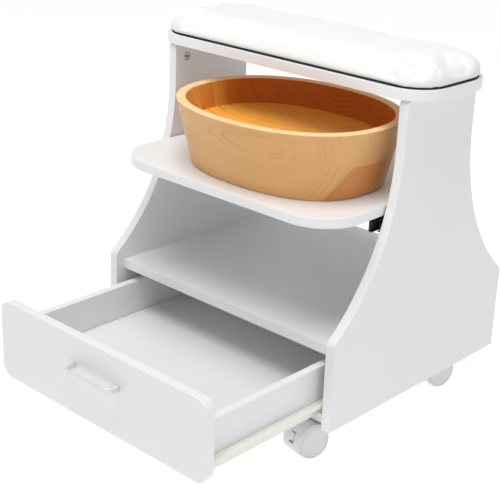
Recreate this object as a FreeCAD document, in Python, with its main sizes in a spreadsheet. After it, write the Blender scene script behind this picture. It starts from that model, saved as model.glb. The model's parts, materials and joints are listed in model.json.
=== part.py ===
"""Rolling pedicure stool: padded seat on two waisted side panels, a pull-out basin tray,
an open towel shelf, a drawer and four twin-wheel casters."""

import FreeCAD, Part, Sketcher
import math
import os
import re

doc = FreeCAD.newDocument("PedicureStool")

# Driving dimensions in millimetres. X runs across the stool, Y from front to back, Z up.
# Heights are counted from the bottom edge of the side panels, depths from the middle of the carcass.
SIZES = {
    "floor_gap": 58.5,      # bottom edge of the panels above the floor
    "row_shift": 127,       # middle of the carcass behind the origin, so that the open stool is centred
    "board": 15,            # laminated board thickness
    "panel_out": 236.7,     # outer face of a side panel
    "panel_depth": 211,     # half depth of a side panel at the foot
    "panel_high": 466,      # top edge of a side panel
    "waist_high": 400,      # where the waist curve ends and the neck starts
    "neck_half": 83,        # half depth of a side panel at the neck
    "waist_rad": 332,       # radius of the waist curve
    "shoulder_rad": 12,     # rounding where the waist curve meets the foot
    "crown_rad": 8,         # rounding of the panel's top corners
    "seat_half": 266,       # half length of the seat
    "seat_deep": 90,        # half depth of the seat
    "seat_rad": 55,         # corner radius of the seat
    "underlay": 3,          # dark board that the cushion is upholstered on
    "cushion": 29,          # cushion thickness
    "cushion_edge": 12,     # rounded upper edge of the cushion
    "shelf_top": 125.4,     # upper face of the towel shelf
    "shelf_front": 195.4,   # front edge of the shelf and the base board
    "front_half": 218.8,    # half width of the drawer front
    "front_low": 5,
    "front_top": 129.2,
    "front_rad": 20,
    "drawer_open": 230,     # how far the drawer stands out at rest
    "drawer_out": 207.5,    # outer face of a drawer side
    "drawer_wall": 13,
    "drawer_low": 19.5,
    "drawer_top": 93.4,
    "drawer_long": 350,
    "floor_low": 34,        # underside of the drawer bottom
    "floor_thick": 4,
    "groove": 5,            # depth of the groove that holds the drawer bottom
    "sheet": 1.2,           # steel thickness of runners and slides
    "runner_top": 39.6,
    "runner_lip": 219.5,    # outer face of the drawer runner
    "roller_rad": 10,
    "roller_wide": 6,
    "roller_pin": 2,
    "roller_end": 12,       # roller axis from the end of its runner
    "roller_side": 2.5,     # drawer runner to the roller's inner face
    "runner_gap": 1.4,      # cabinet runner above the base board, and above the drawer runner
    "runner_deep": 11.5,    # cabinet runner from the panel
    "runner_foot": 12,      # drawer runner under the drawer side
    "pin_long": 9.5,
    "screw_drop": 12.6,     # runner screws below the drawer runner's flange, clear of its lip
    "handle_half": 50,
    "handle_high": 84,
    "handle_wide": 9.5,
    "handle_reach": 24,
    "handle_bar": 4.5,
    "handle_rad": 15,
    "tray_half": 219,
    "tray_deep": 190,
    "tray_top": 313.4,
    "tray_rad": 70,
    "tray_open": 30,        # how far the tray stands forward at rest
    "slide_half": 85,       # half length of a tray slide member
    "slide_top": 297.5,
    "slide_high": 27,
    "slide_lip": 8.5,       # depth of the fixed member from the panel
    "slide_step": 3,        # each member is lower than the one outside it by this, top and bottom
    "middle_web": 6.5,      # inner faces of the members' webs from the panel
    "inner_web": 12.2,
    "middle_near": 2.6,     # lips of the middle member, nearest and farthest
    "middle_far": 9.4,
    "inner_near": 7.3,
    "bracket": 1.5,         # thickness of the bracket under the tray
    "bracket_far": 38,
    "basin_x": 17.3,
    "basin_y": 77.6,        # in front of the middle of the carcass
    "basin_high": 104,
    "basin_wall": 14,
    "basin_bed": 64,        # the bottom board's top, set up inside the staves
    "basin_base": 14,       # thickness of the bottom board
    "rim_long": 180,
    "rim_short": 146,
    "foot_long": 156,
    "foot_short": 114,
    "rim_power": 2.2,       # 2 is an ellipse, larger is squarer
    "foot_power": 2.4,
    "wheel_rad": 26.5,
    "wheel_wide": 13,
    "wheel_inner": 6,       # inner face of a wheel from the middle of its caster
    "pin_rad": 3,           # caster axle
    "stem_rad": 4,          # swivel stem
    "fit": 0.05,            # running clearance round an axle or a stem
    "trail": 20,            # wheel axle behind the swivel axis
    "hood_rad": 29.1,
    "hood_wall": 1.8,
    "hood_half": 19.4,
    "web_half": 5.5,
    "caster_x": 191.5,
    "caster_front": 179,
    "caster_rear": 142,
    "caster_turn": 13,      # degrees that the casters stand turned
    "plate": 2.5,           # caster plate
    "plate_long": 44,
    "plate_wide": 30,
    "plate_corner": 4,
    "plate_gap": 0.5,       # between the plate and the turning hood
    "hood_low": 13,         # the hood's front reaches this far below the axle
    "hood_rear": 12,        # the hood's rear edge above the axle
    "boss_rad": 9.5,
    "boss_low": 8,          # underside of the boss above the axle
    "stem_deep": 2,         # stem hole above the underside of the boss
    "stem_gap": 1,
    "wheel_gap": 0.8,
    "tread_rad": 2,         # rounding of the tread's edges
    "wheel_skin": 1.6,      # closed outer face of a wheel
    "pedal_half": 4.8,
    "pedal_in": 17.4,       # brake pedal from the axle, inner and outer
    "pedal_out": 32,
    "pedal_low": 10,        # degrees above the axle
    "pedal_high": 32,
    "pedal_gap": 0.4,
    "window_low": 2,        # degrees that the pedal's window reaches below the axle
    "cam_rad": 7.5,
    "cam_deep": 12,
    "bolt_rad": 3.5,
    "bolt_deep": 9,         # cam bolt in the seat board
    "drive_rad": 2.5,       # driver hole of a cam
    "drive_deep": 2,
    "cam_inset": 24,        # middle of a cam from the joint face
    "seat_cam_y": 58,
    "shelf_cam_y": 150,
    "base_cam_y": 100,      # clear of the caster screws
    "head_high": 1.6,       # screw heads
    "back_screw_x": 150,
    "runner_screw": 60,     # runner screws behind the shelf's front edge
    "runner_space": 240,
    "side_screw_low": 25,   # screws of the drawer's back
    "side_screw_high": 15,
    "tray_screw_x": 27,
    "tray_screw_y": 70,
    "plate_screw_x": 16,
    "plate_screw_y": 10.5,
    "plate_head": 2.6,      # heads sunk flush with the caster plate, clear of the turning hood
    "plate_shank": 1.6,
    "lip_high": 5.5,        # outer lip of the drawer runner
    "roller_gap": 0.3,      # roller to the flange that it runs under or on
}

sheet = doc.addObject("Spreadsheet::Sheet", "Sizes")
for row, (alias, value) in enumerate(SIZES.items(), start=1):
    sheet.set(f"A{row}", alias)
    sheet.set(f"B{row}", str(value))
    sheet.setAlias(f"B{row}", alias)
doc.recompute()

nodes = {}


def formula(text):
    """An expression on the sheet from words such as panel_out-board."""
    return re.sub(r"[a-z_]{4,}|fit", lambda word: "Sizes." + word.group(), str(text))


def size(text):
    """The number that such a sum has now; a term may be divided by a number."""
    total = 0.0
    for sign, term, divisor in re.findall(r"([+-]?)\s*([a-z_]+|[0-9.]+)(?:/([0-9.]+))?", str(text)):
        value = (SIZES[term] if term in SIZES else float(term)) / float(divisor or 1)
        total += -value if sign == "-" else value
    return total


def bind(thing, **words):
    for name, text in words.items():
        thing.setExpression(name, formula(text))


def place(thing, x, y, z):
    """Binds a placement in carcass coordinates."""
    thing.setExpression("Placement.Base.x", formula(x))
    thing.setExpression("Placement.Base.y", f"{formula('row_shift')} + {formula(y)}")
    thing.setExpression("Placement.Base.z", f"{formula('floor_gap')} + {formula(z)}")


def node(thing, name):
    thing.Label = name
    nodes[name] = thing
    return thing


def block(x, y, z):
    """A box from pairs of words: (low, high) along each axis."""
    box = doc.addObject("Part::Box", "Block")
    for name, (low, high) in zip(("Length", "Width", "Height"), (x, y, z)):
        box.setExpression(name, f"({formula(high)}) - ({formula(low)})")
    place(box, f"({x[0]})", f"({y[0]})", f"({z[0]})")
    return box


TURNS = {
    "x": FreeCAD.Rotation(FreeCAD.Vector(0, 1, 0), 90),
    "y": FreeCAD.Rotation(FreeCAD.Vector(1, 0, 0), -90),
    "z": FreeCAD.Rotation(),
}


def rod(axis, radius, length, x, y, z):
    """A cylinder that starts at x, y, z and runs along +axis."""
    cylinder = doc.addObject("Part::Cylinder", "Rod")
    bind(cylinder, Radius=radius, Height=length)
    cylinder.Placement = FreeCAD.Placement(FreeCAD.Vector(), TURNS[axis])
    place(cylinder, f"({x})", f"({y})", f"({z})")
    return cylinder


def fuse(things):
    union = doc.addObject("Part::MultiFuse", "Union")
    union.Shapes = things
    return union


def cut(base, tools):
    result = doc.addObject("Part::Cut", "Cut")
    result.Base = base
    result.Tool = tools[0] if len(tools) == 1 else fuse(tools)
    return result


def group(things):
    compound = doc.addObject("Part::Compound", "Group")
    compound.Links = things
    return compound


def plane_of(body, role):
    return next(f for f in body.Origin.OriginFeatures if f.Role == role)


def new_sketch(body, role):
    sketch = body.newObject("Sketcher::SketchObject", "Outline")
    sketch.AttachmentSupport = [(plane_of(body, role), "")]
    sketch.MapMode = "FlatFace"
    return sketch


def arc(centre_x, centre_y, radius, start, end):
    circle = Part.Circle(FreeCAD.Vector(centre_x, centre_y, 0), FreeCAD.Vector(0, 0, 1), radius)
    return Part.ArcOfCircle(circle, math.radians(start), math.radians(end))


def rounded_outline(sketch, half_x, half_y, radius):
    """A rectangle with four round corners about the origin, bound to words of the sheet."""
    a, b, r = size(half_x), size(half_y), size(radius)
    corner = [(a - r, b - r, 0), (-a + r, b - r, 90), (-a + r, -b + r, 180), (a - r, -b + r, 270)]
    side = [((a - r, b), (-a + r, b)), ((-a, b - r), (-a, -b + r)),
            ((-a + r, -b), (a - r, -b)), ((a, -b + r), (a, b - r))]
    for (x, y, start), (p, q) in zip(corner, side):
        sketch.addGeometry(arc(x, y, r, start, start + 90), False)
        sketch.addGeometry(Part.LineSegment(FreeCAD.Vector(*p, 0), FreeCAD.Vector(*q, 0)), False)
    for step in range(4):
        bend, line, following = 2 * step, 2 * step + 1, (2 * step + 2) % 8
        sketch.addConstraint(Sketcher.Constraint("Tangent", bend, 2, line, 1))
        sketch.addConstraint(Sketcher.Constraint("Tangent", line, 2, following, 1))
        sketch.addConstraint(Sketcher.Constraint("Horizontal" if step % 2 == 0 else "Vertical", line))
    for bend in (2, 4, 6):
        sketch.addConstraint(Sketcher.Constraint("Equal", 0, bend))
    for kind, name, words, line, value in (
        ("DistanceY", "half_y", half_y, 1, b),
        ("DistanceX", "half_x", half_x, 7, a),
        ("DistanceY", "low_y", half_y, 5, b),
        ("DistanceX", "low_x", half_x, 3, a),
    ):
        ends = (-1, 1, line, 1) if line in (1, 7) else (line, 1, -1, 1)
        index = sketch.addConstraint(Sketcher.Constraint(kind, *ends, value))
        sketch.renameConstraint(index, name)
        sketch.setExpression("Constraints." + name, formula(words))
    index = sketch.addConstraint(Sketcher.Constraint("Radius", 0, r))
    sketch.renameConstraint(index, "corner")
    sketch.setExpression("Constraints.corner", formula(radius))


def rounded_board(name, role, half_x, half_y, radius, thickness, x, y, z, upper_edge=None):
    """A board with round corners, and with a rounded upper edge if one is named."""
    body = doc.addObject("PartDesign::Body", name)
    sketch = new_sketch(body, role)
    rounded_outline(sketch, half_x, half_y, radius)
    pad = body.newObject("PartDesign::Pad", "Thickness")
    pad.Profile = sketch
    bind(pad, Length=thickness)
    place(body, x, y, z)
    doc.recompute()
    if upper_edge:
        top = max(face.CenterOfMass.z for face in pad.Shape.Faces)
        cap = next(i for i, face in enumerate(pad.Shape.Faces, 1) if abs(face.CenterOfMass.z - top) < 1e-6)
        fillet = body.newObject("PartDesign::Fillet", "UpperEdge")
        fillet.Base = (pad, [f"Face{cap}"])
        bind(fillet, Radius=upper_edge)
        body.Tip = fillet
    return body


# --- Side panels: a wide foot, a concave waist and a straight neck, the same front and back ---


def panel_outline(sketch):
    deep, high, neck = size("panel_depth"), size("panel_high"), size("neck_half")
    waist, bend = size("waist_high"), size("waist_rad")
    shoulder, crown = size("shoulder_rad"), size("crown_rad")
    centre = neck + bend
    # The shoulder rounding touches the foot's front edge from inside and the waist curve from outside.
    reach = bend + shoulder
    drop = math.sqrt(reach**2 - (centre - deep + shoulder) ** 2)
    edge = waist - drop
    lean = math.degrees(math.atan2(drop, centre - deep + shoulder))

    def line(p, q):
        sketch.addGeometry(Part.LineSegment(FreeCAD.Vector(*p, 0), FreeCAD.Vector(*q, 0)), False)

    # Sketch X is the carcass depth and sketch Y the height, counter-clockwise from the foot.
    line((-deep, 0), (deep, 0))
    line((deep, 0), (deep, edge))
    sketch.addGeometry(arc(deep - shoulder, edge, shoulder, 0, lean), False)
    sketch.addGeometry(arc(centre, waist, bend, 180, 180 + lean), False)
    line((neck, waist), (neck, high - crown))
    sketch.addGeometry(arc(neck - crown, high - crown, crown, 0, 90), False)
    line((neck - crown, high), (-neck + crown, high))
    sketch.addGeometry(arc(-neck + crown, high - crown, crown, 90, 180), False)
    line((-neck, high - crown), (-neck, waist))
    sketch.addGeometry(arc(-centre, waist, bend, -lean, 0), False)
    sketch.addGeometry(arc(-deep + shoulder, edge, shoulder, 180 - lean, 180), False)
    line((-deep, edge), (-deep, 0))
    # (geometry, end) pairs in order round the outline; the waist arcs run against it.
    ends = [(0, 1, 2), (1, 1, 2), (2, 1, 2), (3, 2, 1), (4, 1, 2), (5, 1, 2),
            (6, 1, 2), (7, 1, 2), (8, 1, 2), (9, 2, 1), (10, 1, 2), (11, 1, 2)]
    smooth = {1, 2, 3, 4, 5, 6, 7, 8, 9, 10}
    for step, (this, _, finish) in enumerate(ends):
        following, start, _ = ends[(step + 1) % len(ends)]
        kind = "Tangent" if this in smooth else "Coincident"
        sketch.addConstraint(Sketcher.Constraint(kind, this, finish, following, start))
    for flat in (0, 6):
        sketch.addConstraint(Sketcher.Constraint("Horizontal", flat))
    for upright in (1, 4, 8, 11):
        sketch.addConstraint(Sketcher.Constraint("Vertical", upright))
    for first, second in ((2, 10), (3, 9), (5, 7)):
        sketch.addConstraint(Sketcher.Constraint("Equal", first, second))
    for name, words, constraint in (
        ("front", "panel_depth", ("DistanceX", 0, 1, -1, 1, deep)),
        ("back", "panel_depth", ("DistanceX", -1, 1, 0, 2, deep)),
        ("foot", "0", ("DistanceY", -1, 1, 0, 1, 0.0)),
        ("top", "panel_high", ("DistanceY", -1, 1, 6, 1, high)),
        ("neck_back", "neck_half", ("DistanceX", -1, 1, 4, 1, neck)),
        ("neck_front", "neck_half", ("DistanceX", 8, 1, -1, 1, neck)),
        ("waist", "waist_high", ("DistanceY", -1, 1, 4, 1, waist)),
        ("waist_front", "waist_high", ("DistanceY", -1, 1, 8, 2, waist)),
        ("waist_bend", "waist_rad", ("Radius", 3, bend)),
        ("shoulder", "shoulder_rad", ("Radius", 2, shoulder)),
        ("crown", "crown_rad", ("Radius", 5, crown)),
    ):
        index = sketch.addConstraint(Sketcher.Constraint(*constraint))
        sketch.renameConstraint(index, name)
        if words != "0":
            sketch.setExpression("Constraints." + name, formula(words))


def side_panel(name, side):
    body = doc.addObject("PartDesign::Body", name)
    sketch = new_sketch(body, "YZ_Plane")
    panel_outline(sketch)
    pad = body.newObject("PartDesign::Pad", "Thickness")
    pad.Profile = sketch
    bind(pad, Length="board")
    place(body, "panel_out-board" if side > 0 else "0-panel_out", "0", "0")
    pockets = []
    for y in ("seat_cam_y", "0-seat_cam_y"):
        start = "panel_out-board" if side > 0 else "0-panel_out+board-cam_deep"
        pockets.append(rod("x", "cam_rad+fit", "cam_deep", start, y, "panel_high-cam_inset"))
        middle = "panel_out-board+cam_deep/2" if side > 0 else "0-panel_out+board-cam_deep/2"
        pockets.append(rod("z", "bolt_rad", "cam_inset", middle, y, "panel_high-cam_inset"))
    return node(cut(body, pockets), name)


for name, side in (("side_panel_left", -1), ("side_panel_right", 1)):
    side_panel(name, side)

# --- Seat: a board on the panels' top edges, a dark underlay and the cushion on it ---

seat_board = rounded_board("seat_board", "XY_Plane", "seat_half", "seat_deep", "seat_rad", "board",
                           "0", "0", "panel_high")
seat_bolt_holes = []
for side in (-1, 1):
    for y in ("seat_cam_y", "0-seat_cam_y"):
        x = "panel_out-board+cam_deep/2" if side > 0 else "0-panel_out+board-cam_deep/2"
        seat_bolt_holes.append(rod("z", "bolt_rad", "bolt_deep", x, y, "panel_high"))
node(cut(seat_board, seat_bolt_holes), "seat_board")
node(rounded_board("seat_underlay", "XY_Plane", "seat_half-2.5", "seat_deep-2.5", "seat_rad-2.5", "underlay",
                   "0", "0", "panel_high+board"), "seat_underlay")
node(rounded_board("seat_cushion", "XY_Plane", "seat_half", "seat_deep", "seat_rad", "cushion",
                   "0", "0", "panel_high+board+underlay", upper_edge="cushion_edge"), "seat_cushion")

# --- Boards between the panels ---

INNER = ("0-panel_out+board", "panel_out-board")


def crossing_cams(at, low, depth):
    """Cam housings sunk in a board near both ends, with bolts to the side panels: cams, bolts."""
    cams, bolts = [], []
    for side in (-1, 1):
        for y in (depth, "0-" + depth):
            x = "panel_out-board-cam_inset" if side > 0 else "0-panel_out+board+cam_inset"
            cams.append(rod("z", "cam_rad", "cam_deep", x, y, low))
            start = x if side > 0 else "0-panel_out+board"
            bolts.append(rod("x", "bolt_rad", "cam_inset", start, y, at))
    return cams, bolts


shelf_cams, shelf_bolts = crossing_cams("shelf_top-board/2", "shelf_top-board", "shelf_cam_y")
shelf = block(INNER, ("0-shelf_front", "panel_depth"), ("shelf_top-board", "shelf_top"))
node(cut(shelf, shelf_cams + shelf_bolts), "lower_shelf")
base_cams, base_bolts = crossing_cams("board/2", "0", "base_cam_y")
base = block(INNER, ("0-shelf_front", "panel_depth-board"), ("0", "board"))
node(cut(base, base_cams + base_bolts), "base_board")
node(block(INNER, ("panel_depth-board", "panel_depth"), ("0", "shelf_top-board")), "back_panel")


node(cut(group(shelf_cams), shelf_bolts), "shelf_cam_locks")
node(cut(group(base_cams), base_bolts), "base_cam_locks")

seat_cams, seat_bolts, drive_holes = [], [], []
for side in (-1, 1):
    for y in ("seat_cam_y", "0-seat_cam_y"):
        start = "panel_out-board" if side > 0 else "0-panel_out+board-cam_deep"
        middle = "panel_out-board+cam_deep/2" if side > 0 else "0-panel_out+board-cam_deep/2"
        mouth = "panel_out-board" if side > 0 else "0-panel_out+board-drive_deep"
        seat_cams.append(rod("x", "cam_rad", "cam_deep", start, y, "panel_high-cam_inset"))
        drive_holes.append(rod("x", "drive_rad", "drive_deep", mouth, y, "panel_high-cam_inset"))
        seat_bolts.append(rod("z", "bolt_rad", "cam_inset+bolt_deep", middle, y, "panel_high-cam_inset"))
node(cut(group(seat_cams), seat_bolts + drive_holes), "seat_cam_locks")
node(group(seat_bolts + shelf_bolts + base_bolts), "cam_bolts")


def screw(axis, direction, length, x, y, z, head="3.6", shank="1.9"):
    """A pan-head screw: the head's underside is at x, y, z and the shank runs along the direction."""
    tip = {"x": x, "y": y, "z": z}
    cap = dict(tip)
    if direction < 0:
        tip[axis] += f"-{length}"
    else:
        cap[axis] += "-head_high"
    head_rod = rod(axis, head, "head_high", cap["x"], cap["y"], cap["z"])
    shank_rod = rod(axis, shank, length, tip["x"], tip["y"], tip["z"])
    return fuse([head_rod, shank_rod])


node(group([screw("y", -1, "35", x, "panel_depth-head_high", "board/2") for x in ("0-back_screw_x", "0", "back_screw_x")]), "back_screws")

# --- Drawer: stands open at rest ---

FRONT_BACK = "0-panel_depth+board-drawer_open"       # back face of the drawer front
DRAWER_END = "0-panel_depth+board-drawer_open+drawer_long"
bottom_panel = (("0-drawer_out+drawer_wall-groove", "drawer_out-drawer_wall+groove"),
                (FRONT_BACK + "-groove", DRAWER_END + "-drawer_wall+groove"),
                ("floor_low", "floor_low+floor_thick"))

front = rounded_board("drawer_front", "XZ_Plane", "front_half", "front_top/2-front_low/2", "front_rad", "board",
                      "0", FRONT_BACK, "front_top/2+front_low/2")
front_blank = cut(front, [block(*bottom_panel)])
node(front_blank, "drawer_front")
for name, side in (("drawer_side_left", -1), ("drawer_side_right", 1)):
    wall = ("drawer_out-drawer_wall", "drawer_out") if side > 0 else ("0-drawer_out", "0-drawer_out+drawer_wall")
    blank = block(wall, (FRONT_BACK, DRAWER_END), ("drawer_low", "drawer_top"))
    node(cut(blank, [block(*bottom_panel)]), name)
blank = block(("0-drawer_out+drawer_wall", "drawer_out-drawer_wall"),
              (DRAWER_END + "-drawer_wall", DRAWER_END), ("drawer_low", "drawer_top"))
node(cut(blank, [block(*bottom_panel)]), "drawer_back")
node(block(*bottom_panel), "drawer_bottom")

# Bow handle: a flat bar bent round at both ends.


def round_front_corners(box, radius):
    """Rounds the two upright edges on the front side of a box."""
    doc.recompute()
    shape = box.Shape
    front_y = shape.BoundBox.YMin
    picked = []
    for index, edge in enumerate(shape.Edges, 1):
        ends = edge.BoundBox
        if ends.ZLength > 1 and ends.XLength < 1e-6 and abs(ends.YMin - front_y) < 1e-6:
            picked.append((index, radius, radius))
    fillet = doc.addObject("Part::Fillet", "RoundCorners")
    fillet.Base = box
    fillet.Edges = picked
    return fillet


FACE = "0-panel_depth-drawer_open"
HANDLE_Z = ("handle_high-handle_wide/2", "handle_high+handle_wide/2")
outer = block(("0-handle_half", "handle_half"), (FACE + "-handle_reach", FACE), HANDLE_Z)
inner = block(("0-handle_half+handle_bar", "handle_half-handle_bar"),
              (FACE + "-handle_reach+handle_bar", FACE + "+1"), HANDLE_Z)
node(cut(round_front_corners(outer, SIZES["handle_rad"]),
         [round_front_corners(inner, SIZES["handle_rad"] - SIZES["handle_bar"])]), "drawer_handle")
node(group([screw("y", -1, "board", x, FRONT_BACK, "handle_high", head="3.9")
            for x in ("0-handle_half+2.3", "handle_half-2.3")]), "handle_screws")
node(group([screw("y", -1, "30", x, DRAWER_END, z)
            for x in ("0-drawer_out+drawer_wall/2", "drawer_out-drawer_wall/2")
            for z in ("drawer_low+side_screw_low", "drawer_top-side_screw_high")]), "drawer_screws")

# --- Drawer runners: an inverted channel on the drawer, a deeper channel on the panel, a roller on each ---


def mirrored(low, high, side):
    """A pair of words for the right-hand side, or its mirror image for the left."""
    return (low, high) if side > 0 else (f"0-({high})", f"0-({low})")


ROLLER_Z = "runner_top-sheet-roller_gap-roller_rad"
DRAWER_ROLLER_Z = "board+runner_gap+sheet+roller_gap+roller_rad"
CABINET_ROLLER_Y = "0-shelf_front+roller_end"
DRAWER_ROLLER_Y = DRAWER_END + "-roller_end"
for word, side in (("left", -1), ("right", 1)):
    long = (FRONT_BACK + "+1", DRAWER_END)
    member = [
        block(mirrored("drawer_out-runner_foot", "drawer_out+sheet", side), long, ("drawer_low-sheet", "drawer_low")),
        block(mirrored("drawer_out", "drawer_out+sheet", side), long, ("drawer_low-sheet", "runner_top")),
        block(mirrored("drawer_out", "runner_lip", side), long, ("runner_top-sheet", "runner_top")),
        block(mirrored("runner_lip-sheet", "runner_lip", side), long, ("runner_top-lip_high", "runner_top")),
        rod("x", "roller_pin", "pin_long", "drawer_out+sheet" if side > 0 else "0-drawer_out-sheet-pin_long",
            DRAWER_ROLLER_Y, DRAWER_ROLLER_Z),
    ]
    node(fuse(member), f"drawer_runner_{word}")
    long = ("0-shelf_front+1", "0-shelf_front+drawer_long")
    face = "panel_out-board"
    member = [
        block(mirrored(face + "-sheet", face, side), long, ("board+runner_gap", "runner_top+runner_gap+sheet")),
        block(mirrored(face + "-runner_deep", face, side), long, ("board+runner_gap", "board+runner_gap+sheet")),
        block(mirrored(face + "-runner_deep", face, side), long,
              ("runner_top+runner_gap", "runner_top+runner_gap+sheet")),
        rod("x", "roller_pin", "pin_long", face + "-sheet-pin_long" if side > 0 else "0-panel_out+board+sheet",
            CABINET_ROLLER_Y, ROLLER_Z),
    ]
    node(fuse(member), f"cabinet_runner_{word}")
    for kind, y, z in (("cabinet_roller", CABINET_ROLLER_Y, ROLLER_Z),
                       ("drawer_roller", DRAWER_ROLLER_Y, DRAWER_ROLLER_Z)):
        start = ("drawer_out+sheet+roller_side" if side > 0
                 else "0-drawer_out-sheet-roller_side-roller_wide")
        disc = rod("x", "roller_rad", "roller_wide", start, y, z)
        bore = rod("x", "roller_pin+fit", "roller_wide", start, y, z)
        node(cut(disc, [bore]), f"{kind}_{word}")
node(group([screw("x", side, "10", "panel_out-board-sheet" if side > 0 else "0-panel_out+board+sheet", y,
                  "runner_top-screw_drop", head="3", shank="1.6")
            for side in (-1, 1)
            for y in ("0-shelf_front+runner_screw", "0-shelf_front+runner_screw+runner_space")]), "runner_screws")

# --- Basin tray on ball-bearing slides ---

node(rounded_board("basin_tray", "XY_Plane", "tray_half", "tray_deep", "tray_rad", "board",
                   "0", "0-tray_open", "tray_top-board"), "basin_tray")
for word, side in (("left", -1), ("right", 1)):
    face = "panel_out-board"
    low, high = "slide_top-slide_high", "slide_top"
    fixed = ("0-slide_half", "slide_half")
    halfway = ("0-slide_half-tray_open/2", "slide_half-tray_open/2")
    carried = ("0-slide_half-tray_open", "slide_half-tray_open")
    node(fuse([
        block(mirrored(face + "-sheet", face, side), fixed, (low, high)),
        block(mirrored(face + "-slide_lip", face, side), fixed, (low, low + "+sheet")),
        block(mirrored(face + "-slide_lip", face, side), fixed, (high + "-sheet", high)),
    ]), f"tray_slide_outer_{word}")
    node(fuse([
        block(mirrored(face + "-middle_web", face + "-middle_web+sheet", side), halfway,
              (low + "+slide_step", high + "-slide_step")),
        block(mirrored(face + "-middle_far", face + "-middle_near", side), halfway,
              (low + "+slide_step", low + "+slide_step+sheet")),
        block(mirrored(face + "-middle_far", face + "-middle_near", side), halfway,
              (high + "-slide_step-sheet", high + "-slide_step")),
    ]), f"tray_slide_middle_{word}")
    node(fuse([
        block(mirrored(face + "-inner_web", face + "-inner_web+sheet", side), carried,
              (low + "+2*slide_step", high + "-2*slide_step")),
        block(mirrored(face + "-inner_web", face + "-inner_near", side), carried,
              (low + "+2*slide_step", low + "+2*slide_step+sheet")),
        block(mirrored(face + "-inner_web", face + "-inner_near", side), carried,
              (high + "-2*slide_step-sheet", high + "-2*slide_step")),
    ]), f"tray_slide_inner_{word}")
    node(fuse([
        block(mirrored(face + "-inner_web-bracket", face + "-inner_web", side), carried,
              (low + "+2*slide_step", "tray_top-board")),
        block(mirrored(face + "-bracket_far", face + "-inner_web", side), carried,
              ("tray_top-board-bracket", "tray_top-board")),
    ]), f"tray_bracket_{word}")
node(group([screw("z", 1, "11", x, y, "tray_top-board-bracket", head="3.4")
            for x in ("0-panel_out+board+tray_screw_x", "panel_out-board-tray_screw_x")
            for y in ("0-tray_open-tray_screw_y", "0-tray_open+tray_screw_y")]), "tray_screws")

# --- Foot basin: an oval wooden tub with leaning sides ---


def oval(half_long, half_short, squareness, height):
    """A squared oval, |x/a|^n + |y/b|^n = 1, as one closed curve."""
    power = 2 / squareness
    count = 48
    points = []
    for step in range(count):
        turn = 2 * math.pi * step / count
        c, s = math.cos(turn), math.sin(turn)
        points.append(FreeCAD.Vector(math.copysign(half_long * abs(c) ** power, c),
                                     math.copysign(half_short * abs(s) ** power, s), height))
    curve = Part.BSplineCurve()
    curve.interpolate(Points=points, PeriodicFlag=True)
    return Part.Wire(curve.toShape())


high, wall = size("basin_high"), size("basin_wall")
foot = (size("foot_long"), size("foot_short"), size("foot_power"))
rim = (size("rim_long"), size("rim_short"), size("rim_power"))


def inside(level):
    """Half length, half depth and squareness of the hollow at a height."""
    outside = [f + (r - f) * level / high for f, r in zip(foot, rim)]
    return outside[0] - wall, outside[1] - wall, outside[2]


tub = Part.makeLoft([oval(*foot, 0), oval(*rim, high)], True)
above = 1.0  # both hollows are cut a little past the ends
bed, base = size("basin_bed"), size("basin_base")
hollow = Part.makeLoft([oval(*inside(bed), bed), oval(*inside(high + above), high + above)], True)
recess = Part.makeLoft([oval(*inside(-above), -above), oval(*inside(bed - base), bed - base)], True)
basin = doc.addObject("Part::Feature", "foot_basin")
basin.Shape = tub.cut([hollow, recess])
basin.Placement = FreeCAD.Placement(
    FreeCAD.Vector(size("basin_x"), size("row_shift-basin_y"), size("floor_gap+tray_top")), FreeCAD.Rotation())
node(basin, "foot_basin")

# --- Casters: plate and stem, hood with a web, axle and twin wheels ---


def region(x, y, z):
    """A box shape from pairs of numbers: (low, high) along each axis."""
    sides = [high - low for low, high in (x, y, z)]
    return Part.makeBox(*sides, FreeCAD.Vector(x[0], y[0], z[0]))


TRAIL = -size("trail")
HUB = size("wheel_rad-floor_gap")


def across(radius, start, length):
    """A cylinder about the axle."""
    return Part.makeCylinder(radius, length, FreeCAD.Vector(start, TRAIL, HUB), FreeCAD.Vector(1, 0, 0))


def upright(radius, low, high):
    """A cylinder about the swivel axis."""
    return Part.makeCylinder(radius, high - low, FreeCAD.Vector(0, 0, low))


def hood_shape():
    """A shell over both wheels, a web between them and a boss for the stem, about the swivel axis.
    Z is counted from the panels' bottom edge and the wheels trail towards -Y."""
    half, web, reach = size("hood_half"), size("web_half"), size("hood_rad")
    top, boss_low = -size("plate+plate_gap"), HUB + size("boss_low")
    front = (TRAIL - reach, TRAIL)
    shell = across(reach, -half, 2 * half).cut(across(reach - size("hood_wall"), -half, 2 * half))
    over_front = region((-half, half), front, (HUB - size("hood_low"), HUB + reach))
    over_rear = region((-half, half), (TRAIL, TRAIL + reach), (HUB + size("hood_rear"), HUB + reach))
    shell = shell.common(over_front.fuse(over_rear))
    middle = across(reach, -web, 2 * web).common(
        region((-web, web), (TRAIL - reach, TRAIL + reach), (HUB - size("hood_low"), HUB + reach)))
    hood = shell.fuse([middle, upright(size("boss_rad"), boss_low, top)])
    for start in (-half, size("wheel_inner-wheel_gap")):
        room = across(size("wheel_rad+wheel_gap"), start, half - size("wheel_inner-wheel_gap"))
        hood = hood.cut(room)
    hood = hood.cut(upright(size("stem_rad+fit"), boss_low + size("stem_deep"), 0))
    hood = hood.cut(across(size("pin_rad"), -half, 2 * half))
    return hood.cut(region((-2 * reach, 2 * reach), (-2 * reach, 2 * reach), (top, 0)))


def axle_shape():
    half = size("wheel_inner+wheel_wide-wheel_skin-wheel_skin")
    return across(size("pin_rad"), -half, 2 * half)


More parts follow.
